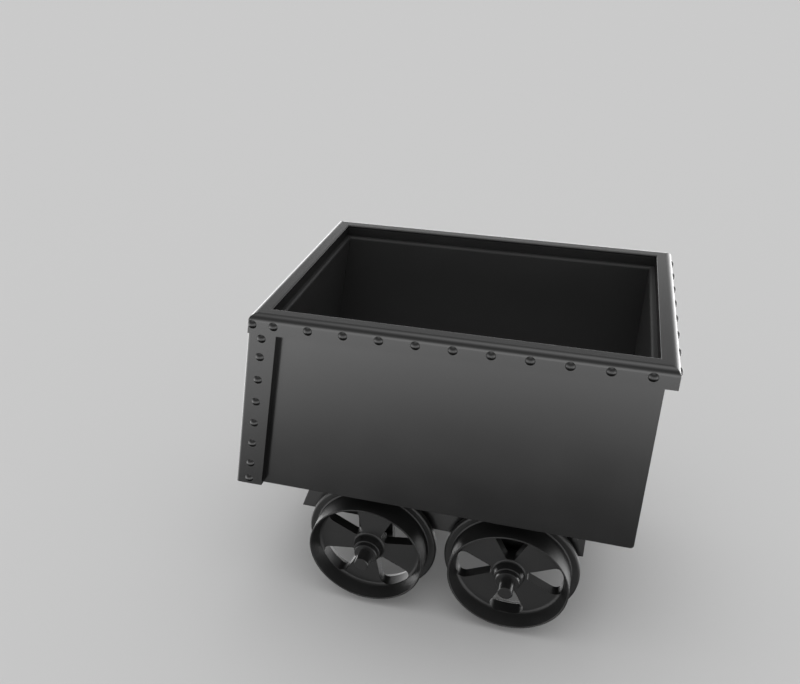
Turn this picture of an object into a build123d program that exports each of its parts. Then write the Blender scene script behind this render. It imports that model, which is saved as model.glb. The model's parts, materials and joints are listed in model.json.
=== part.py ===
from build123d import *
from math import cos, radians, sin, tan
import os

os.makedirs("parts", exist_ok=True)

# A small mine tub on four flanged wheels. Millimetres. +X is the front end, which is upright,
# -Y is the near side and +Z is up. The origin lies under the middle of the whole cart,
# level with the lowest point of the wheel flanges.

# ---- Driving dimensions --------------------------------------------------------------------

# Tub, measured over its rim
rim_length = 1200.0
rim_width = 814.0
tub_height = 640.0  # top of the rim to the underside of the floor
rear_rake = 9.9  # lean of the rear end in degrees, its foot outwards
panel_thickness = 6.0
panel_inset = 30.0  # face of the rim to the face of a panel
panel_skirt = 7.0  # how far a panel hangs below the floor
panel_corner = 12.0  # rounding of a side panel's lower front corner
floor_thickness = 6.0

# Rim capping, an angle over the panels' upper edges, with a lip bar under its inner edge
cap_width = 52.0
cap_height = 62.0
cap_thickness = 8.0
cap_outer_bend = 22.0
cap_inner_bend = 4.0
bend_clearance = 1.0
lip_depth = 40.0  # top of the rim to the lower edge of a lip bar

# Wear liners inside the panels, which hold their tops under the lip bars
liner_face = 70.0  # rim face to a liner's inner face
liner_round = 8.0

# Rear corner posts, pressed casings
post_width = 90.0
post_thickness = 8.0
post_lift = 3.0  # foot of a post above the floor's underside
post_corner = 10.0
packing_width = 28.0

# Rivets
head_radius = 14.0
head_height = 9.0
tail_radius = 8.0
tail_depth = 3.5  # of the countersink that a flush tail fills
shank_radius = 6.0
rivet_clearance = 0.25
rivet_depth = 31.0  # rivet line below the top of the rim
side_rivets = 11
side_rivet_rear_gap = 13.0  # lip bar's face at the rear to the first rivet's tail
side_rivet_front_gap = 7.0  # the same at the front, to the last rivet's tail
corner_rivet_margin = 12.4  # corner rivet ahead of the leaning rear face
corner_shank_radius = 4.0
corner_shank = 7.0
end_rivets = 8
end_rivet_gap = 2.5  # a side panel's inner face to the nearest edge of a tail
post_rivets = 6  # evenly spread ones, with one more beyond each end
post_end_pitch = 64.0
post_rivet_start = 76.0  # highest post rivet below the top of the rim
post_rivet_foot = 26.0  # lowest one above the floor's underside
post_rivet_gap = 1.0
hole_length = 200.0  # of a cut that goes right through

# Underframe
sole_height = 189.0
sole_thickness = 10.0
sole_flange = 70.0
sole_outer_y = 258.0
sole_front = 435.0  # ahead of the rim's middle
sole_rear = 546.0  # behind the rim's middle, at the lower edge
sole_rake = 20.3  # slope of the rear ends in degrees
headstock_thickness = 40.0
headstock_height = 110.0
headstock_drop = 30.0  # sole bar's top to a headstock's top
headstock_front_margin = 14.0
headstock_rear_margin = 80.0
draw_hole_radius = 18.0

# Bolts
bolt_radius = 6.0
bolt_clearance = 0.25
bolt_head_height = 7.5
bolt_head_flats = 19.0
bolt_tail = 3.5  # end of a bolt beyond its nut
floor_bolts = 5
floor_bolt_rear_margin = 106.0  # sole bar's lower rear corner to the first bolt
floor_bolt_front_margin = 55.0
floor_bolt_inset = 40.0  # sole bar's outer face to the bolt line
floor_head_radius = 11.0
floor_head_height = 5.0
floor_head_round = 3.0
frame_bolt_spacing = 60.0
frame_bolt_reach = 34.0  # into the headstock
pedestal_bolt_spacing = 72.0
pedestal_bolt_rise = 48.0  # above the sole bar's lower edge
keep_bolt_spacing = 92.0
keep_bolt_reach = 36.0  # into the pedestal

# Running gear
axle_drop = 63.0  # sole bar's lower edge to the axle's centre
axle_front = 206.0  # ahead of the rim's middle
axle_rear = 277.5  # behind the rim's middle
axle_radius = 30.0
axle_shoulder_y = 260.0
axle_end_y = 421.0
axle_chamfer = 2.0
journal_radius = 24.5
pedestal_half_width = 62.0
pedestal_width = 34.0
pedestal_rise = 84.0  # above the sole bar's lower edge
pedestal_chamfer = 16.0
keep_depth = 46.0
keep_gap = 1.0
seat_clearance = 0.2

# Wheels, with depths measured inwards from the outer face of the tread
wheel_face_y = 380.0
tread_radius = 199.0
tread_width = 84.0
flange_radius = 227.5
flange_thickness = 25.0
mouth_radius = 193.0
back_radius = 186.0
web_depth = 52.0
web_thickness = 35.0
web_radius = 178.0
hub_depth = 22.0
hub_front_radius = 46.0
hub_root_radius = 51.0
hub_length = 92.0
wheel_spokes = 4
opening_tip = 60.0
opening_tip_half = 14.0
opening_spread = 0.5  # growth of half the width for each millimetre outwards
opening_corner = 22.0
opening_tip_corner = 9.0
rear_wheel_turn = 36.0  # degrees, where the openings stand at rest
front_wheel_turn = 0.0
bush_wall = 6.5
bush_clearance = 0.05
bush_seat_clearance = 0.02
end_play = 0.6
collar_radius = 40.0
collar_length = 14.4
collar_clearance = 0.15
collar_chamfer = 1.5
pin_radius = 4.0
pin_clearance = 0.15
pin_angle = 60.0
washer_radius = 42.0

# ---- Places worked out from them -----------------------------------------------------------

rake = radians(rear_rake)
lean = tan(rake)  # outward run of the rear end for each millimetre down
dome_radius = (head_radius**2 + head_height**2) / (2 * head_height)

axle_z = flange_radius
sole_z = axle_z + axle_drop
floor_z = sole_z + sole_height
floor_top = floor_z + floor_thickness
rim_z = floor_z + tub_height


def spread(first, last, count):
    """Evenly spaced places, the first and the last among them."""
    return [first + k * (last - first) / (count - 1) for k in range(count)]


post_rivet_end = tub_height - post_rivet_foot
post_depths = [
    post_rivet_start,
    *spread(post_rivet_start + post_end_pitch, post_rivet_end - post_end_pitch, post_rivets),
    post_rivet_end,
]
stagger_depths = [(high + low) / 2 for high, low in zip(post_depths, post_depths[1:])]

head_reach = dome_radius - (dome_radius - head_height) * cos(rake)  # dome beyond a leaning face
post_foot = tub_height - post_lift
rear_reach = max(lean * post_foot, lean * stagger_depths[-1] + head_reach)
front_reach = head_height
rim_middle_x = (rear_reach - front_reach) / 2
front_x = rim_middle_x + rim_length / 2
rear_x = rim_middle_x - rim_length / 2
side_y = rim_width / 2
panel_back = panel_inset + panel_thickness  # rim face to a panel's inner face

axle_xs = {"front": rim_middle_x + axle_front, "rear": rim_middle_x - axle_rear}
sole_front_x = rim_middle_x + sole_front
sole_rear_x = rim_middle_x - sole_rear
sole_web_y = sole_outer_y - sole_thickness

rear_normal = (-cos(rake), 0, sin(rake))
down_the_rake = (-sin(rake), 0, -cos(rake))
sides = (("near", -1), ("far", 1))
CENTER_MAX = (Align.CENTER, Align.CENTER, Align.MAX)
CENTER_MIN = (Align.CENTER, Align.CENTER, Align.MIN)


def save(piece, name):
    piece.part.label = name
    export_step(piece.part, f"parts/{name}.step")


# ---- Section planes: local x runs inwards from the rim's face, local y runs up ---------------

def side_section(side):
    return Plane(origin=(rim_middle_x, side * side_y, rim_z), x_dir=(0, -side, 0), z_dir=(-side, 0, 0))


front_section = Plane(origin=(front_x, 0, rim_z), x_dir=(-1, 0, 0), z_dir=(0, 1, 0))
rear_section = Plane(origin=(rear_x, 0, rim_z), x_dir=(1, 0, 0), z_dir=(0, -1, 0))


def rear_mitre(side):
    return Plane(origin=(rear_x, side * side_y, rim_z), z_dir=(1, side, -lean))


def front_mitre(side):
    return Plane(origin=(front_x, side * side_y, rim_z), z_dir=(-1, side, 0))


def section_points(points, slope):
    """Turn (inset, depth) pairs into section coordinates, leaning outwards by slope."""
    return [(inset - slope * depth, -depth) for inset, depth in points]


# ---- Rivet places: local z is the outward normal of the face ---------------------------------

def on_side(side, x, depth):
    return Location(Plane(origin=(x, side * side_y, rim_z - depth), x_dir=(1, 0, 0), z_dir=(0, side, 0)))


def on_front(y, depth):
    return Location(Plane(origin=(front_x, y, rim_z - depth), x_dir=(0, 1, 0), z_dir=(1, 0, 0)))


def on_rear(y, depth):
    foot = (rear_x - lean * depth, y, rim_z - depth)
    return Location(Plane(origin=foot, x_dir=(0, 1, 0), z_dir=rear_normal))


def side_rim_spots(side):
    first = rear_x + cap_width + side_rivet_rear_gap + tail_radius
    last = front_x - cap_width - side_rivet_front_gap - tail_radius
    return [on_side(side, x, rivet_depth) for x in spread(first, last, side_rivets)]


def corner_spot(side):
    return on_side(side, rear_x - lean * rivet_depth + corner_rivet_margin, rivet_depth)


def end_rim_spots(face):
    last = side_y - panel_back - end_rivet_gap - tail_radius
    return [face(y, rivet_depth) for y in spread(-last, last, end_rivets)]


post_rivet_line = panel_back + tail_radius + post_rivet_gap


def post_side_spots(side):
    return [on_side(side, rear_x - lean * depth + post_rivet_line, depth) for depth in post_depths]


def post_rear_spots(side):
    return [on_rear(side * (side_y - post_rivet_line), depth) for depth in stagger_depths]


def drill(spots, radius=shank_radius + rivet_clearance, depth=0.0):
    """Cut a hole at each spot in the part that is being built, right through unless depth says."""
    with Locations(*spots):
        if depth:
            Cylinder(radius, depth, align=CENTER_MAX, mode=Mode.SUBTRACT)
        else:
            Cylinder(radius, hole_length, mode=Mode.SUBTRACT)


def countersink(spots, grip):
    """Cut the seat of each flush tail, whose wide end lies at the depth of the grip."""
    wide = tail_radius + rivet_clearance
    narrow = shank_radius + rivet_clearance
    with Locations(*spots):
        with Locations((0, 0, -grip)):
            Cone(wide, narrow, tail_depth, align=CENTER_MIN, mode=Mode.SUBTRACT)


# ---- Rivets and bolts, each along its own Z with its head's seat at the origin ----------------

def make_rivet(grip, radius=shank_radius, tail=True):
    with BuildPart() as rivet:
        with Locations((0, 0, head_height - dome_radius)):
            Sphere(dome_radius)
        split(bisect_by=Plane.XY, keep=Keep.TOP)
        Cylinder(radius, grip, align=CENTER_MAX)
        if tail:
            with Locations((0, 0, -grip)):
                Cone(tail_radius, radius, tail_depth, align=CENTER_MIN)
    return rivet.part


def make_hex(height):
    with BuildPart() as block:
        with BuildSketch():
            RegularPolygon(bolt_head_flats / 2, 6, major_radius=False)
        extrude(amount=height)
    return block.part


bolt_hole_radius = bolt_radius + bolt_clearance


def make_bolt(length):
    with BuildPart() as bolt:
        add(make_hex(bolt_head_height))
        Cylinder(bolt_radius, length, align=CENTER_MAX)
    return bolt.part


def make_nut():
    with BuildPart() as nut:
        add(make_hex(bolt_head_height))
        Cylinder(bolt_hole_radius, hole_length, mode=Mode.SUBTRACT)
    return nut.part


def make_floor_bolt(length):
    with BuildPart() as bolt:
        Cylinder(floor_head_radius, floor_head_height, align=CENTER_MIN)
        fillet(bolt.edges().sort_by(Axis.Z)[-1], floor_head_round)
        Cylinder(bolt_radius, length, align=CENTER_MAX)
    return bolt.part


# ---- Tub panels -----------------------------------------------------------------------------

panel_foot = tub_height + panel_skirt

for name, side in sides:
    with BuildPart() as side_panel:
        with BuildSketch(Plane.XZ.offset(-side * (side_y - panel_inset))):
            with BuildLine():
                FilletPolyline(
                    (rear_x + panel_inset - lean * cap_thickness, rim_z - cap_thickness),
                    (front_x - panel_inset, rim_z - cap_thickness),
                    (front_x - panel_inset, rim_z - panel_foot),
                    (rear_x + panel_inset - lean * panel_foot, rim_z - panel_foot),
                    radius=(0, 0, panel_corner, 0),
                    close=True,
                )
            make_face()
        extrude(amount=side * panel_thickness)
        drill(side_rim_spots(side) + post_side_spots(side))
        countersink(side_rim_spots(side) + post_side_spots(side), panel_back)
    save(side_panel, f"side_panel_{name}")

rear_grip = panel_back * cos(rake)
front_spots = end_rim_spots(on_front)
rear_spots = end_rim_spots(on_rear) + post_rear_spots(-1) + post_rear_spots(1)

for name, section, slope, spots, grip in (
    ("front", front_section, 0, front_spots, panel_back),
    ("rear", rear_section, lean, rear_spots, rear_grip),
):
    with BuildPart() as end_panel:
        with BuildSketch(section):
            with BuildLine():
                Polyline(
                    section_points(
                        [
                            (panel_inset, cap_thickness),
                            (panel_back, cap_thickness),
                            (panel_back, panel_foot),
                            (panel_inset, panel_foot),
                        ],
                        slope,
                    ),
                    close=True,
                )
            make_face()
        extrude(amount=side_y - panel_back, both=True)
        drill(spots)
        countersink(spots, grip)
    save(end_panel, f"{name}_end_panel")

floor_rear_x = rear_x + panel_back - lean * (tub_height - floor_thickness)
floor_front_x = front_x - panel_back
floor_bolt_y = sole_outer_y - floor_bolt_inset
floor_bolt_xs = spread(
    sole_rear_x + floor_bolt_rear_margin, sole_front_x - floor_bolt_front_margin, floor_bolts
)


def floor_bolt_spots(side, z=floor_top):
    return [Location((x, side * floor_bolt_y, z)) for x in floor_bolt_xs]


with BuildPart() as floor_plate:
    with BuildSketch(Plane.XY.offset(floor_z)):
        with Locations(((floor_rear_x + floor_front_x) / 2, 0)):
            Rectangle(floor_front_x - floor_rear_x, 2 * (side_y - panel_back))
    extrude(amount=floor_thickness)
    drill(floor_bolt_spots(-1) + floor_bolt_spots(1), bolt_hole_radius)
save(floor_plate, "floor_plate")

# ---- Rim capping, its packing, the lip bars and the liners -----------------------------------

lip_face = cap_width - cap_thickness
packing_bend = cap_outer_bend - cap_thickness + bend_clearance
liner_foot = tub_height - floor_thickness
rim_outlines = {
    "rim_cap": (
        [
            (0, 0),
            (0, cap_height),
            (cap_thickness, cap_height),
            (cap_thickness, cap_thickness),
            (cap_width, cap_thickness),
            (cap_width, 0),
        ],
        (cap_outer_bend, 0, 0, cap_outer_bend - cap_thickness, 0, cap_inner_bend),
    ),
    "rim_packing": (
        [
            (cap_thickness, cap_thickness),
            (cap_thickness, cap_height),
            (panel_inset, cap_height),
            (panel_inset, cap_thickness),
        ],
        (packing_bend, 0, 0, 0),
    ),
    "rim_lip": (
        [
            (lip_face, cap_thickness),
            (lip_face, lip_depth),
            (cap_width, lip_depth),
            (cap_width, cap_thickness),
        ],
        (0, 0, 0, 0),
    ),
    "liner": (
        [
            (panel_back, lip_depth),
            (panel_back, liner_foot),
            (liner_face, liner_foot),
            (liner_face, lip_depth),
        ],
        (0, 0, 0, liner_round),
    ),
}

for kind, (points, bends) in rim_outlines.items():
    riveted = kind in ("rim_cap", "rim_packing")
    for name, side in sides:
        with BuildPart() as side_rim:
            with BuildSketch(side_section(side)):
                with BuildLine():
                    FilletPolyline(section_points(points, 0), radius=bends, close=True)
                make_face()
            extrude(amount=rim_length, both=True)
            split(bisect_by=rear_mitre(side), keep=Keep.TOP)
            split(bisect_by=front_mitre(side), keep=Keep.TOP)
            if riveted:
                drill(side_rim_spots(side))
            if kind == "rim_cap":
                drill([corner_spot(side)], corner_shank_radius + rivet_clearance, corner_shank)
        save(side_rim, f"{kind}_{name}")

    for name, section, slope, face, mitre in (
        ("front", front_section, 0, on_front, front_mitre),
        ("rear", rear_section, lean, on_rear, rear_mitre),
    ):
        with BuildPart() as end_rim:
            with BuildSketch(section):
                with BuildLine():
                    FilletPolyline(section_points(points, slope), radius=bends, close=True)
                make_face()
            extrude(amount=rim_width, both=True)
            split(bisect_by=mitre(-1), keep=Keep.BOTTOM)
            split(bisect_by=mitre(1), keep=Keep.BOTTOM)
            if riveted:
                drill(end_rim_spots(face))
        save(end_rim, f"{kind}_{name}")

# ---- Rear corner posts and their packing -------------------------------------------------------

def plan_points(side, depth, points):
    """Turn (inset from the rear face, inset from the side face) pairs into a plan at a depth."""
    return [(rear_x - lean * depth + inset, side * (side_y - across)) for inset, across in points]


def extrude_down_the_rake(height):
    extrude(amount=height / cos(rake), dir=down_the_rake)


post_inner = post_width - post_thickness
casing_points = [
    (0, 0),
    (post_width, 0),
    (post_width, panel_inset),
    (post_inner, panel_inset),
    (post_inner, post_thickness),
    (post_thickness, post_thickness),
    (post_thickness, post_inner),
    (panel_inset, post_inner),
    (panel_inset, post_width),
    (0, post_width),
]
foot_points = [
    (post_thickness, post_thickness),
    (post_inner, post_thickness),
    (post_inner, panel_inset),
    (panel_inset, panel_inset),
    (panel_inset, post_inner),
    (post_thickness, post_inner),
]
bar_low = post_rivet_line - packing_width / 2
bar_high = post_rivet_line + packing_width / 2
side_bar = [
    (bar_low, post_thickness),
    (bar_high, post_thickness),
    (bar_high, panel_inset),
    (bar_low, panel_inset),
]
rear_bar = [(across, along) for along, across in side_bar]

for name, side in sides:
    post_spots = post_side_spots(side) + post_rear_spots(side)

    with BuildPart() as corner_post:
        with BuildSketch(Plane.XY.offset(rim_z - cap_height)):
            with BuildLine():
                FilletPolyline(
                    plan_points(side, cap_height, casing_points),
                    radius=[post_corner] + [0] * (len(casing_points) - 1),
                    close=True,
                )
            make_face()
        extrude_down_the_rake(post_foot - cap_height)
        with BuildSketch(Plane.XY.offset(rim_z - post_foot + post_thickness)):
            with BuildLine():
                Polyline(plan_points(side, post_foot - post_thickness, foot_points), close=True)
            make_face()
        extrude_down_the_rake(post_thickness)
        drill(post_spots)
    save(corner_post, f"rear_corner_post_{name}")

    with BuildPart() as post_packing:
        with BuildSketch(Plane.XY.offset(rim_z - cap_height)):
            for points in (side_bar, rear_bar):
                with BuildLine():
                    Polyline(plan_points(side, cap_height, points), close=True)
                make_face()
        extrude_down_the_rake(post_foot - post_thickness - cap_height)
        drill(post_spots)
    save(post_packing, f"post_packing_{name}")

# ---- Rivets --------------------------------------------------------------------------------------

rivet = make_rivet(panel_back)
leaning_rivet = make_rivet(rear_grip)
corner_rivet = make_rivet(corner_shank - rivet_clearance, corner_shank_radius, tail=False)


def place(piece, spots):
    with Locations(*spots):
        add(piece)


for name, side in sides:
    with BuildPart() as side_rivets_group:
        place(rivet, side_rim_spots(side))
        place(corner_rivet, [corner_spot(side)])
    save(side_rivets_group, f"rim_rivets_{name}")

    with BuildPart() as post_rivets_group:
        place(rivet, post_side_spots(side))
        place(leaning_rivet, post_rear_spots(side))
    save(post_rivets_group, f"post_rivets_{name}")

for name, face, piece in (("front", on_front, rivet), ("rear", on_rear, leaning_rivet)):
    with BuildPart() as end_rivets_group:
        place(piece, end_rim_spots(face))
    save(end_rivets_group, f"rim_rivets_{name}")

# ---- Underframe ----------------------------------------------------------------------------------

headstock_z = floor_z - headstock_drop - headstock_height / 2
headstock_xs = {
    "front": sole_front_x - headstock_front_margin - headstock_thickness / 2,
    "rear": sole_rear_x + headstock_rear_margin + headstock_thickness / 2,
}
pedestal_bolt_z = sole_z + pedestal_bolt_rise


def on_web(side, x, z, y=sole_outer_y):
    return Location(Plane(origin=(x, side * y, z), x_dir=(1, 0, 0), z_dir=(0, side, 0)))


def frame_bolt_spots(side):
    offsets = (-frame_bolt_spacing / 2, frame_bolt_spacing / 2)
    return [on_web(side, x, headstock_z + offset) for x in headstock_xs.values() for offset in offsets]


def pedestal_bolt_spots(side, y=sole_outer_y):
    offsets = (-pedestal_bolt_spacing / 2, pedestal_bolt_spacing / 2)
    return [on_web(side, x + offset, pedestal_bolt_z, y) for x in axle_xs.values() for offset in offsets]


def keep_bolt_spots(x, side):
    y = side * (sole_web_y - pedestal_width / 2)
    lower_face = Plane(origin=(x, y, axle_z - keep_depth), x_dir=(1, 0, 0), z_dir=(0, 0, -1))
    offsets = (-keep_bolt_spacing / 2, keep_bolt_spacing / 2)
    return [Location(lower_face) * Location((offset, 0, 0)) for offset in offsets]


for name, side in sides:
    with BuildPart() as sole_bar:
        with BuildSketch(Plane.XZ.offset(-side * sole_outer_y)):
            with BuildLine():
                Polyline(
                    (sole_rear_x + sole_height * tan(radians(sole_rake)), floor_z),
                    (sole_front_x, floor_z),
                    (sole_front_x, sole_z),
                    (sole_rear_x, sole_z),
                    close=True,
                )
            make_face()
        extrude(amount=side * sole_flange)
        with BuildSketch(Plane.XZ.offset(-side * sole_web_y)):
            with Locations((rim_middle_x, (sole_z + floor_z) / 2 - sole_thickness)):
                Rectangle(2 * rim_length, sole_height)
        extrude(amount=side * sole_flange, mode=Mode.SUBTRACT)
        drill(frame_bolt_spots(side) + pedestal_bolt_spots(side), bolt_hole_radius, 2 * sole_thickness)
        drill(floor_bolt_spots(side), bolt_hole_radius, floor_thickness + 2 * sole_thickness)
    save(sole_bar, f"sole_bar_{name}")

for name, x in headstock_xs.items():
    with BuildPart() as headstock:
        with Locations((x, 0, headstock_z)):
            Box(headstock_thickness, 2 * sole_web_y, headstock_height)
            Cylinder(draw_hole_radius, 2 * headstock_thickness, rotation=(0, 90, 0), mode=Mode.SUBTRACT)
        for _, side in sides:
            depth = sole_thickness + frame_bolt_reach + bolt_clearance
            drill(frame_bolt_spots(side), bolt_hole_radius, depth)
    save(headstock, f"headstock_{name}")

for axle_name, x in axle_xs.items():
    for name, side in sides:
        keep_spots = keep_bolt_spots(x, side)
        with BuildPart() as pedestal:
            with BuildSketch(Plane.XZ.offset(-side * sole_web_y)) as outline:
                with Locations((x, (axle_z + sole_z + pedestal_rise) / 2)):
                    Rectangle(2 * pedestal_half_width, sole_z + pedestal_rise - axle_z)
                chamfer(outline.vertices().group_by(Axis.Y)[-1], pedestal_chamfer)
                with Locations((x, axle_z)):
                    Circle(axle_radius + seat_clearance, mode=Mode.SUBTRACT)
            extrude(amount=side * pedestal_width)
            drill(pedestal_bolt_spots(side), bolt_hole_radius)
            drill(keep_spots, bolt_hole_radius, keep_depth + keep_bolt_reach + bolt_clearance)
        save(pedestal, f"pedestal_{axle_name}_{name}")

        with BuildPart() as keep:
            with BuildSketch(Plane.XZ.offset(-side * sole_web_y)):
                with Locations((x, axle_z - (keep_gap + keep_depth) / 2)):
                    Rectangle(2 * pedestal_half_width, keep_depth - keep_gap)
                with Locations((x, axle_z)):
                    Circle(axle_radius + seat_clearance, mode=Mode.SUBTRACT)
            extrude(amount=side * pedestal_width)
            drill(keep_spots, bolt_hole_radius, keep_depth)
        save(keep, f"axle_keep_{axle_name}_{name}")

frame_bolt = make_bolt(sole_thickness + frame_bolt_reach)
with BuildPart() as frame_bolts:
    for _, side in sides:
        place(frame_bolt, frame_bolt_spots(side))
save(frame_bolts, "frame_bolts")

pedestal_bolt = make_bolt(sole_thickness + pedestal_width + bolt_head_height + bolt_tail)
keep_bolt = make_bolt(keep_depth + keep_bolt_reach)
nut = make_nut()
nut_y = sole_web_y - pedestal_width - bolt_head_height
with BuildPart() as pedestal_bolts:
    for _, side in sides:
        place(pedestal_bolt, pedestal_bolt_spots(side))
        place(nut, pedestal_bolt_spots(side, nut_y))
        for x in axle_xs.values():
            place(keep_bolt, keep_bolt_spots(x, side))
save(pedestal_bolts, "pedestal_bolts")

floor_bolt = make_floor_bolt(floor_thickness + sole_thickness + bolt_head_height + bolt_tail)
floor_nut_z = floor_z - sole_thickness - bolt_head_height
with BuildPart() as floor_bolts_group:
    for _, side in sides:
        place(floor_bolt, floor_bolt_spots(side))
        place(nut, floor_bolt_spots(side, floor_nut_z))
save(floor_bolts_group, "floor_bolts")

# ---- Axles, collars and washers ------------------------------------------------------------------

hub_front_y = wheel_face_y - hub_depth
hub_back_y = hub_front_y - hub_length
collar_inner_y = hub_front_y + end_play
collar_middle_y = collar_inner_y + collar_length / 2


def across(x, y=0.0):
    """A plane square to an axle, at a distance y along it, its local z along +Y."""
    return Plane(origin=(x, y, axle_z), x_dir=(1, 0, 0), z_dir=(0, 1, 0))


def pin_spot(x, side):
    tilt = radians(pin_angle)
    middle = (x, side * collar_middle_y, axle_z)
    return Location(Plane(origin=middle, x_dir=(0, 1, 0), z_dir=(cos(tilt), 0, sin(tilt))))


for name, x in axle_xs.items():
    pin_spots = [pin_spot(x, side) for _, side in sides]
    with BuildPart() as axle:
        with BuildSketch(across(x)):
            Circle(axle_radius)
        extrude(amount=axle_shoulder_y, both=True)
        with BuildSketch(across(x)):
            Circle(journal_radius)
        extrude(amount=axle_end_y, both=True)
        chamfer(axle.edges().group_by(Axis.Y)[0] + axle.edges().group_by(Axis.Y)[-1], axle_chamfer)
        drill(pin_spots, pin_radius + pin_clearance)
    save(axle, f"axle_{name}")

    with BuildPart() as collars:
        for _, side in sides:
            with BuildSketch(across(x, side * collar_middle_y)):
                Circle(collar_radius)
                Circle(journal_radius + collar_clearance, mode=Mode.SUBTRACT)
            extrude(amount=collar_length / 2, both=True)
        end_faces = collars.faces().group_by(Axis.Y)[0] + collars.faces().group_by(Axis.Y)[-1]
        chamfer(end_faces.edges().group_by(SortBy.RADIUS)[-1], collar_chamfer)
        drill(pin_spots, pin_radius + pin_clearance)
    save(collars, f"axle_collars_{name}")

with BuildPart() as collar_pins:
    for x in axle_xs.values():
        for _, side in sides:
            with Locations(pin_spot(x, side)):
                Cylinder(pin_radius, 2 * collar_radius)
save(collar_pins, "collar_pins")

with BuildPart() as thrust_washers:
    for x in axle_xs.values():
        for _, side in sides:
            with BuildSketch(across(x, side * axle_shoulder_y)):
                Circle(washer_radius)
                Circle(journal_radius + collar_clearance, mode=Mode.SUBTRACT)
            extrude(amount=side * (hub_back_y - axle_shoulder_y - end_play))
save(thrust_washers, "thrust_washers")

# ---- Wheels and their bushes ---------------------------------------------------------------------

web_back = web_depth + web_thickness
wheel_depth = tread_width + flange_thickness
bush_radius = journal_radius + bush_clearance + bush_wall
bore_radius = bush_radius + bush_seat_clearance

wheel_outline = [
    ((bore_radius, hub_depth), 0),
    ((hub_front_radius, hub_depth), 3),
    ((hub_root_radius, web_depth), 8),
    ((web_radius, web_depth), 12),
    ((mouth_radius, 0), 2.5),
    ((tread_radius, 0), 2.5),
    ((tread_radius, tread_width), 6),
    ((flange_radius, tread_width), 8),
    ((flange_radius, wheel_depth), 10),
    ((back_radius, wheel_depth), 3),
    ((web_radius, web_back), 8),
    ((hub_root_radius, web_back), 8),
    ((hub_front_radius, hub_depth + hub_length), 3),
    ((bore_radius, hub_depth + hub_length), 0),
]
wedge_end_half = opening_tip_half + (tread_radius - opening_tip) * opening_spread
wedge_points = [
    (opening_tip, -opening_tip_half),
    (tread_radius, -wedge_end_half),
    (tread_radius, wedge_end_half),
    (opening_tip, opening_tip_half),
]
wheel_turns = {"front": front_wheel_turn, "rear": rear_wheel_turn}

for axle_name, x in axle_xs.items():
    for name, side in sides:
        face_middle = (x, side * wheel_face_y, axle_z)
        profile_plane = Plane(origin=face_middle, x_dir=(1, 0, 0), z_dir=(0, 0, -side))
        face_plane = Plane(origin=face_middle, x_dir=(1, 0, 0), z_dir=(0, side, 0))
        axle_line = Axis((x, 0, axle_z), (0, 1, 0))
        with BuildPart() as wheel:
            with BuildSketch(profile_plane):
                with BuildLine():
                    FilletPolyline(
                        [point for point, _ in wheel_outline],
                        radius=[bend for _, bend in wheel_outline],
                        close=True,
                    )
                make_face()
            revolve(axis=axle_line)
            with BuildSketch(face_plane) as openings:
                with PolarLocations(0, wheel_spokes, start_angle=-side * wheel_turns[axle_name]):
                    Polygon(wedge_points, align=None)
                Circle(web_radius, mode=Mode.INTERSECT)
                fillet(openings.vertices().group_by(SortBy.DISTANCE)[-1], opening_corner)
                fillet(openings.vertices().group_by(SortBy.DISTANCE)[0], opening_tip_corner)
            extrude(amount=-wheel_depth, mode=Mode.SUBTRACT)
        save(wheel, f"wheel_{axle_name}_{name}")

        with BuildPart() as bush:
            with BuildSketch(across(x, side * (hub_front_y - hub_length / 2))):
                Circle(bush_radius)
                Circle(journal_radius + bush_clearance, mode=Mode.SUBTRACT)
            extrude(amount=hub_length / 2, both=True)
        save(bush, f"hub_bush_{axle_name}_{name}")

print("middle of the rim at x", round(rim_middle_x, 2), "and its top at z", rim_z)
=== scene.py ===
# %% [markdown]
# # A small mine cart
# The cart is a riveted steel tub, lined with boards, on four spoked wheels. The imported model
# gives every size and place, so this lesson only adds the looks: rounded edges, domed rivets,
# cast wheels and paint.

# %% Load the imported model
import json
import math

import bmesh
import bpy
from mathutils import Matrix, Vector


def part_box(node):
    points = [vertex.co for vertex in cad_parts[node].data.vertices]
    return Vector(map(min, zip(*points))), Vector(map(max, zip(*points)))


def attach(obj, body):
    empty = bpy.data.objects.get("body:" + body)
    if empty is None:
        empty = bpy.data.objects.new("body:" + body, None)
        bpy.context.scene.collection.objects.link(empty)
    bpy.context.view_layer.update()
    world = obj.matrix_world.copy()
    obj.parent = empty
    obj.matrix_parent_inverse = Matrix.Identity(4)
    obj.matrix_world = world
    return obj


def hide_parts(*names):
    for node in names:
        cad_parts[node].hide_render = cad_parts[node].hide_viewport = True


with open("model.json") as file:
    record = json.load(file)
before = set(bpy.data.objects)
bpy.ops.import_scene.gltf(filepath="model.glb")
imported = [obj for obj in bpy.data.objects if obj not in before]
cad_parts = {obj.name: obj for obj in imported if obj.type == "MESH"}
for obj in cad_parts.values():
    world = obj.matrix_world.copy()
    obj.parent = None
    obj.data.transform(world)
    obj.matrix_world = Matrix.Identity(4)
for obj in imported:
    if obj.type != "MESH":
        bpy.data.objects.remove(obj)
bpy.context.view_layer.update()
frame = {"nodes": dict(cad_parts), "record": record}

# %% [markdown]
# ## Places on the tub
# The top of the rim and its middle place the camera and the painted light on the boards. They
# could be typed in, but read from the imported capping they stay right when the model changes. The
# rear end leans, so its capping's box is as wide at the foot as the lean makes it, and that is
# taken off again.

# %% Places read from the frame
MM = 0.001
REAR_RAKE = math.radians(9.9)
cap_near, cap_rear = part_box("rim_cap_near"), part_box("rim_cap_rear")
rim_z = cap_near[1].z
front_x = cap_near[1].x
cap_height = cap_near[1].z - cap_near[0].z
rear_x = cap_rear[0].x + math.tan(REAR_RAKE) * cap_height
rim_middle = Vector(((front_x + rear_x) / 2, 0, rim_z))
print("rim from", round(rear_x, 4), "to", round(front_x, 4), "at", round(rim_z, 4))

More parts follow.
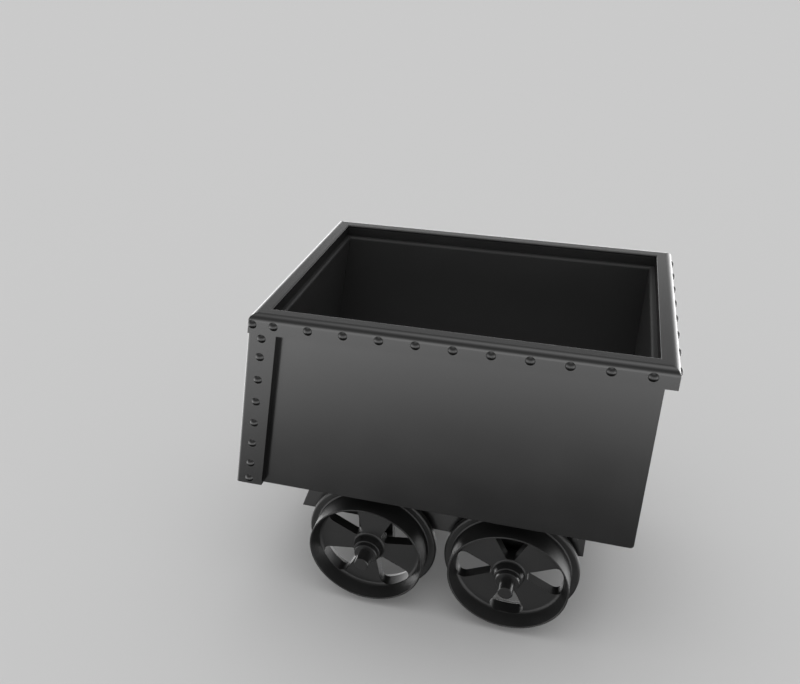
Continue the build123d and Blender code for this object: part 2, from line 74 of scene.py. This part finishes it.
# %% [markdown]
# ## The camera
# The view is from the near side, above the rim and a little towards the front. The camera is
# placed from the middle of the rim, so it follows the cart. The Standard view transform keeps
# blacks deep, where a filmic one would lift them to grey.

# %% The camera
CAMERA_FROM_RIM = Vector((0.3456, -2.2282, 1.0327))
CAMERA_TILT = math.radians(60.72)  # up from looking straight down
CAMERA_TURN = math.radians(15.11)
camera_data = bpy.data.cameras.new("camera")
camera_data.lens = 35
camera_data.sensor_width = 36
camera = bpy.data.objects.new("camera", camera_data)
camera.location = rim_middle + CAMERA_FROM_RIM
camera.rotation_euler = (CAMERA_TILT, 0, CAMERA_TURN)
bpy.context.collection.objects.link(camera)
bpy.context.scene.camera = camera
bpy.context.scene.view_settings.view_transform = "Standard"
print("camera at", [round(v, 3) for v in camera.location])


# %% [markdown]
# ## Shader maths
# A node tree is hard to read as a list of links. A small class wraps a socket, so that sums on
# values read like sums and add their Math nodes. Every other node comes from one method, which
# takes its kind, its settings and what goes into its sockets.

# %% Values that add their own nodes
class Value:
    def __init__(self, tree, socket):
        self.tree = tree
        self.socket = socket

    def math(self, operation, *others):
        return self.tree.add("ShaderNodeMath", {"operation": operation}, self, *others)

    def __add__(self, other):
        return self.math("ADD", other)

    def __sub__(self, other):
        return self.math("SUBTRACT", other)

    def __rsub__(self, other):
        return self.tree.add("ShaderNodeMath", {"operation": "SUBTRACT"}, other, self)

    def __mul__(self, other):
        return self.math("MULTIPLY", other)

    def __truediv__(self, other):
        return self.math("DIVIDE", other)

    __radd__, __rmul__ = __add__, __mul__

    def clamped(self):
        return self.tree.add("ShaderNodeClamp", {}, self)


# %% Trees that add any other node
class Tree:
    def __init__(self, node_tree):
        self.nodes = node_tree.nodes
        self.links = node_tree.links
        self.nodes.clear()

    def add(self, kind, settings, *inputs, output=0, **named):
        node = self.nodes.new(kind)
        for name, value in settings.items():
            if name == "stops":
                ramp = node.color_ramp
                while len(ramp.elements) < len(value):
                    ramp.elements.new(1)
                for element, (place, colour) in zip(ramp.elements, value):
                    element.position = place
                    element.color = colour
            else:
                setattr(node, name, value)
        given = list(enumerate(inputs))
        given += [(name.replace("_", " "), value) for name, value in named.items()]
        for name, value in given:
            if isinstance(value, Value):
                self.links.new(value.socket, node.inputs[name])
            else:
                node.inputs[name].default_value = value
        return Value(self, node.outputs[output]) if node.outputs else node


def grey(level):
    return (level, level, level, 1)


# %% [markdown]
# ## Floor and light
# Gloss black shows almost nothing but what it reflects, so the light decides its tones. Lamps
# would leave hot spots on the plates. A dome with no lamps gives soft ones: it is brightest in
# a band round the horizon, which the upper plates reflect, and falls off quickly below it,
# which darkens them towards the ground. The pale floor takes the cart's shadow and stays out
# of the reflections, so that the band below the horizon is seen in the plates.

# %% The dome
DOME_STRENGTH = 2.8
world = bpy.data.worlds.new("dome")
bpy.context.scene.world = world
world.use_nodes = True
sky = Tree(world.node_tree)
direction = sky.add("ShaderNodeTexCoord", {})
height = sky.add("ShaderNodeSeparateXYZ", {}, direction, output=2)
DOME = [  # degrees above the horizon, brightness
    (-90, 0.01),
    (-50, 0.01),
    (-43, 0.03),
    (-38, 0.12),
    (-33, 0.6),
    (-28, 1.35),
    (-10, 1.35),
    (6, 0.95),
    (15, 0.3),
    (28, 0.22),
    (45, 0.16),
    (62, 0.35),
    (90, 0.95),
]
stops = [((math.sin(math.radians(a)) + 1) / 2, grey(level)) for a, level in DOME]
band = sky.add("ShaderNodeValToRGB", {"stops": stops}, (height + 1) / 2)
back = sky.add("ShaderNodeBackground", {}, band, DOME_STRENGTH)
sky.add("ShaderNodeOutputWorld", {}, back)

# %% The floor
FLOOR_REACH = 60
FLOOR_LEVEL = 0.6
floor_mesh = bpy.data.meshes.new("floor")
bm = bmesh.new()
bmesh.ops.create_grid(bm, x_segments=1, y_segments=1, size=FLOOR_REACH)
bm.to_mesh(floor_mesh)
bm.free()
floor = bpy.data.objects.new("floor", floor_mesh)
bpy.context.collection.objects.link(floor)
floor.visible_glossy = False
material = bpy.data.materials.new("floor")
material.use_nodes = True
tree = Tree(material.node_tree)
surface = tree.add("ShaderNodeBsdfDiffuse", {}, grey(FLOOR_LEVEL))
tree.add("ShaderNodeOutputMaterial", {}, surface)
floor_mesh.materials.append(material)

# %% [markdown]
# ## Finishes
# Everything is painted black, so the colours hardly differ and the gloss tells the parts apart.
# Rolled plate keeps a faint orange peel from the spray. A casting keeps the grain of its sand
# mould under the same paint. The boards inside are tarred, and their grey is painted paler
# towards the floor of the tub: painted light that offsets the shade deep inside it. One function
# makes them all, because they differ only in numbers. Each finish reads Object coordinates, so
# it stays in place on its piece. Only Base Color, Roughness and Normal are fed by patterns.

# %% One function for every finish
PATCH_SCALE = 6.0
ROUGHNESS_SPREAD = 0.08
SPECK_SPREAD = 0.05
PAINTED_LIGHT_START = 0.05  # below the rim, where the painted light on the boards starts
PAINTED_LIGHT_DEPTH = 0.55  # from there to where the painted light is strongest


def make_finish(
    name, level, roughness, grain, depth, change, tint=(1, 1, 1), metallic=0.0, shine=0.5, painted_light=0.0
):
    """level is the paint's grey, grain and depth its relief, change how far its grey wanders."""
    material = bpy.data.materials.new(name)
    material.use_nodes = True
    tree = Tree(material.node_tree)
    place = tree.add("ShaderNodeTexCoord", {}, output=3)
    patches = tree.add("ShaderNodeTexNoise", {}, place, Scale=PATCH_SCALE, Detail=4.0)
    specks = tree.add("ShaderNodeTexNoise", {}, place, Scale=grain, Detail=3.0)
    colour = tree.add(
        "ShaderNodeMix",
        {"data_type": "RGBA"},
        patches,
        output=2,
        A=(*(level * share * (1 - change) for share in tint), 1),
        B=(*(level * share * (1 + change) for share in tint), 1),
    )
    # Painted light: deeper below the rim the grey is mixed towards a paler one, to offset the
    # shade inside the tub.
    if painted_light:
        height = tree.add("ShaderNodeSeparateXYZ", {}, place, output=2)
        painted_light_mask = ((rim_z - PAINTED_LIGHT_START - height) / PAINTED_LIGHT_DEPTH).clamped()
        colour = tree.add(
            "ShaderNodeMix", {"data_type": "RGBA"}, painted_light_mask, output=2, A=colour, B=grey(painted_light)
        )
    relief = tree.add("ShaderNodeBump", {}, Strength=0.5, Distance=depth, Height=specks)
    shader = tree.add(
        "ShaderNodeBsdfPrincipled",
        {},
        Base_Color=colour,
        Metallic=metallic,
        Specular_IOR_Level=shine,
        Roughness=(patches - 0.5) * ROUGHNESS_SPREAD + (specks - 0.5) * SPECK_SPREAD + roughness,
        Normal=relief,
    )
    tree.add("ShaderNodeOutputMaterial", {}, shader)
    return material


# %% The cart's finishes, by the record's slots
finishes = {
    "tub_plate": make_finish("black_plate_paint", 0.006, 0.21, 260, 0.0001, 0.3),
    "rim_steel": make_finish("black_rim_paint", 0.006, 0.24, 260, 0.0002, 0.3),
    "inner_steel": make_finish("inner_paint", 0.012, 0.45, 200, 0.0004, 0.25, shine=0.2),
    # The boards take painted light: their grey rises to 0.1 deep in the tub, offsetting the shade
    # there.
    "liner_board": make_finish("tarred_board", 0.026, 0.5, 90, 0.0006, 0.2, shine=0.15, painted_light=0.1),
    "rivet_steel": make_finish("rivet_paint", 0.005, 0.34, 240, 0.0001, 0.2, shine=0.4),
    "bolt_steel": make_finish("bolt_paint", 0.007, 0.3, 240, 0.0002, 0.2),
    "frame_steel": make_finish("frame_paint", 0.007, 0.34, 220, 0.0004, 0.3),
    "pedestal_iron": make_finish("pedestal_paint", 0.007, 0.36, 130, 0.0008, 0.3),
    "wheel_iron": make_finish("wheel_paint", 0.009, 0.46, 130, 0.0005, 0.3, shine=0.27),
    "axle_steel": make_finish("axle_steel", 0.03, 0.34, 180, 0.0002, 0.2, metallic=0.6),
    "collar_steel": make_finish("collar_steel", 0.02, 0.33, 180, 0.0002, 0.2, metallic=0.4),
    "bush_bronze": make_finish(
        "bearing_bronze", 0.33, 0.38, 180, 0.0002, 0.2, tint=(1, 0.62, 0.24), metallic=1.0
    ),
}
print("finishes", len(finishes))

# %% Which slot and body each node belongs to
slot_of = {part["node"]: part["material_slot"] for part in frame["record"]["subparts"]}
bodies = frame["record"]["behaviour"]["bodies"]
body_of = {node: body for body, members in bodies.items() for node in members}
print("nodes with a slot", len(slot_of), "and with a body", len(body_of))

# %% [markdown]
# ## Rounded steelwork
# A real edge is never quite sharp: paint pulls back from it and its small round catches the
# light as a thin line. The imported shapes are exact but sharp. They could be modelled again,
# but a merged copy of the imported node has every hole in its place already. So its flat
# triangles are dissolved into whole faces, and its sharp edges are bevelled. A Weighted Normal
# modifier then keeps the flats flat and the rounds round.

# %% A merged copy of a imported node
WELD = 0.01 * MM
FLAT_ANGLE = math.radians(0.6)


def merged_copy(node):
    bm = bmesh.new()
    bm.from_mesh(frame["nodes"][node].data)
    bmesh.ops.remove_doubles(bm, verts=bm.verts, dist=WELD)
    bmesh.ops.dissolve_limit(
        bm,
        angle_limit=FLAT_ANGLE,
        use_dissolve_boundaries=False,
        verts=bm.verts,
        edges=bm.edges,
        delimit=set(),
    )
    return bm


# %% Round the sharp edges
SHARP_ANGLE = math.radians(38)


def edge_angle(edge):
    return edge.calc_face_angle(0) if len(edge.link_faces) == 2 else 0


def round_edges(bm, radius, segments, shortest=0.0):
    edges = [
        edge
        for edge in bm.edges
        if edge_angle(edge) > SHARP_ANGLE and edge.calc_length() > shortest
    ]
    if edges:
        bmesh.ops.bevel(
            bm,
            geom=edges,
            offset=radius,
            offset_type="OFFSET",
            segments=segments,
            profile=0.5,
            affect="EDGES",
            clamp_overlap=True,
            material=-1,
        )
    return len(edges)


# %% Turn a bmesh into a piece that stands for its node
def make_piece(bm, name, node):
    for edge in bm.edges:
        edge.smooth = edge_angle(edge) < SHARP_ANGLE
    for face in bm.faces:
        face.smooth = True
    mesh = bpy.data.meshes.new(name)
    bm.to_mesh(mesh)
    bm.free()
    mesh.materials.append(finishes[slot_of[node]])
    piece = bpy.data.objects.new(name, mesh)
    bpy.context.collection.objects.link(piece)
    shading = piece.modifiers.new("even_shading", "WEIGHTED_NORMAL")
    shading.keep_sharp = True
    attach(piece, body_of[node])
    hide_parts(node)
    return piece


# %% [markdown]
# ## Which piece gets which round
# Pressed plate has a small round, a rolled bar a larger one, and a casting the largest, because
# its pattern had to draw out of the sand. One table holds them all, so they are easy to
# compare. Short edges, such as those around a rivet's hole, are left alone under their heads.

# %% Round the steelwork
ROUNDS = {  # round, steps in it, and the shortest edge that gets it
    "side_panel": (1.2 * MM, 2, 12 * MM),
    "front_end_panel": (1.2 * MM, 2, 12 * MM),
    "rear_end_panel": (1.2 * MM, 2, 12 * MM),
    "rim_cap": (1.6 * MM, 2, 12 * MM),
    "rear_corner_post": (1.6 * MM, 2, 7 * MM),
    "rim_lip": (1.2 * MM, 2, 7 * MM),
    "liner": (1.5 * MM, 2, 12 * MM),
    "sole_bar": (2.0 * MM, 3, 9 * MM),
    "headstock": (3.0 * MM, 3, 12 * MM),
    "pedestal_front": (2.5 * MM, 3, 12 * MM),
    "pedestal_rear": (2.5 * MM, 3, 12 * MM),
    "axle_keep": (2.5 * MM, 3, 12 * MM),
    "frame_bolts": (0.9 * MM, 2, 7 * MM),
    "pedestal_bolts": (0.9 * MM, 2, 7 * MM),
}
for kind, (radius, segments, shortest) in ROUNDS.items():
    for node in sorted(frame["nodes"]):
        if node.startswith(kind):
            bm = merged_copy(node)
            count = round_edges(bm, radius, segments, shortest)
            piece = make_piece(bm, f"rounded_{node}", node)
            print(piece.name, "rounded edges", count, "faces", len(piece.data.polygons))

# %% [markdown]
# ## Wheels
# Each wheel is one iron casting with a coned face, four openings between broad spokes, and a
# flange behind the tread. It could be spun and cut anew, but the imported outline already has
# its turned fillets, and only the openings' edges are sharp. A casting's edges are never
# sharp, and their rounds show as bright lines round the openings.

# %% Round the wheels' openings
OPENING_ROUND = 2.5 * MM
OPENING_SEGMENTS = 4
for node in sorted(frame["nodes"]):
    if node.startswith("wheel_"):
        bm = merged_copy(node)
        count = round_edges(bm, OPENING_ROUND, OPENING_SEGMENTS)
        piece = make_piece(bm, f"cast_{node}", node)
        print(piece.name, "rounded edges", count, "faces", len(piece.data.polygons))

# %% [markdown]
# ## Rivets
# A rivet's head is a low dome, hammered or pressed to shape. A squashed sphere would be too
# steep at its foot, so the dome is spun from an arc of the right height. The places come from
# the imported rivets: each rivet is an island of linked vertices, its long side tells which face
# it goes through, and its outermost point is the top of its head.

# %% Spin one head
HEAD_RADIUS = 14 * MM
HEAD_HEIGHT = 9 * MM
HEAD_SINK = 0.5 * MM
ARC_STEPS = 7
TURN_STEPS = 28
dome_radius = (HEAD_RADIUS**2 + HEAD_HEIGHT**2) / (2 * HEAD_HEIGHT)
arc_angle = math.asin(HEAD_RADIUS / dome_radius)


def add_head(bm, top, normal):
    turn = normal.to_track_quat("Z", "Y").to_matrix().to_4x4()
    profile = [bm.verts.new((0, 0, 0))]
    for step in range(1, ARC_STEPS + 1):
        angle = arc_angle * step / ARC_STEPS
        x = dome_radius * math.sin(angle)
        profile.append(bm.verts.new((x, 0, dome_radius * (math.cos(angle) - 1))))
    profile.append(bm.verts.new((HEAD_RADIUS, 0, -HEAD_HEIGHT - HEAD_SINK)))
    profile.append(bm.verts.new((0, 0, -HEAD_HEIGHT - HEAD_SINK)))
    edges = [bm.edges.new(pair) for pair in zip(profile, profile[1:])]
    before = set(bm.verts) - set(profile)
    bmesh.ops.spin(
        bm,
        geom=profile + edges,
        cent=(0, 0, 0),
        axis=(0, 0, 1),
        angle=math.tau,
        steps=TURN_STEPS,
        use_merge=True,
    )
    made = [vert for vert in bm.verts if vert not in before]
    bmesh.ops.remove_doubles(bm, verts=made, dist=WELD)
    made = [vert for vert in bm.verts if vert not in before]
    bmesh.ops.transform(bm, matrix=Matrix.Translation(top) @ turn, verts=made)


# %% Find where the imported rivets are
TOP_SLICE = 1 * MM


def islands(node):
    bm = bmesh.new()
    bm.from_mesh(frame["nodes"][node].data)
    bmesh.ops.remove_doubles(bm, verts=bm.verts, dist=WELD)
    bm.verts.ensure_lookup_table()
    seen = set()
    groups = []
    for start in bm.verts:
        if start.index in seen:
            continue
        seen.add(start.index)
        group, queue = [start.co.copy()], [start]
        while queue:
            for edge in queue.pop().link_edges:
                for vert in edge.verts:
                    if vert.index not in seen:
                        seen.add(vert.index)
                        group.append(vert.co.copy())
                        queue.append(vert)
        groups.append(group)
    bm.free()
    return groups


def head_top(points, normal):
    reach = max(point.dot(normal) for point in points)
    near_top = [point for point in points if point.dot(normal) > reach - TOP_SLICE]
    middle = sum(near_top, Vector()) / len(near_top)
    return middle + normal * (reach - middle.dot(normal))


# %% Put a head on every rivet
SIDE_NORMALS = {"near": Vector((0, -1, 0)), "far": Vector((0, 1, 0))}
FRONT_NORMAL = Vector((1, 0, 0))
REAR_NORMAL = Vector((-math.cos(REAR_RAKE), 0, math.sin(REAR_RAKE)))
rivet_faces = {
    "rim_rivets_near": [SIDE_NORMALS["near"]],
    "rim_rivets_far": [SIDE_NORMALS["far"]],
    "rim_rivets_front": [FRONT_NORMAL],
    "rim_rivets_rear": [REAR_NORMAL],
    "post_rivets_near": [SIDE_NORMALS["near"], REAR_NORMAL],
    "post_rivets_far": [SIDE_NORMALS["far"], REAR_NORMAL],
}


def extent(points, normal):
    along = [point.dot(normal) for point in points]
    return max(along) - min(along)


for node, normals in rivet_faces.items():
    bm = bmesh.new()
    groups = islands(node)
    for points in groups:
        normal = max(normals, key=lambda direction: extent(points, direction))
        add_head(bm, head_top(points, normal), normal)
    bmesh.ops.recalc_face_normals(bm, faces=bm.faces)
    piece = make_piece(bm, f"heads_of_{node}", node)
    print(piece.name, "heads", len(groups), "faces", len(piece.data.polygons))

# %% [markdown]
# ## Axles, collars, bushes and floor
# The remaining pieces are turned, already chamfered, or hidden between others. Copies would
# add nothing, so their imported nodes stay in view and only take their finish.

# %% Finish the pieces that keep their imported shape
for name, node in frame["nodes"].items():
    for slot in node.material_slots:
        slot.material = finishes[slot_of[name]]
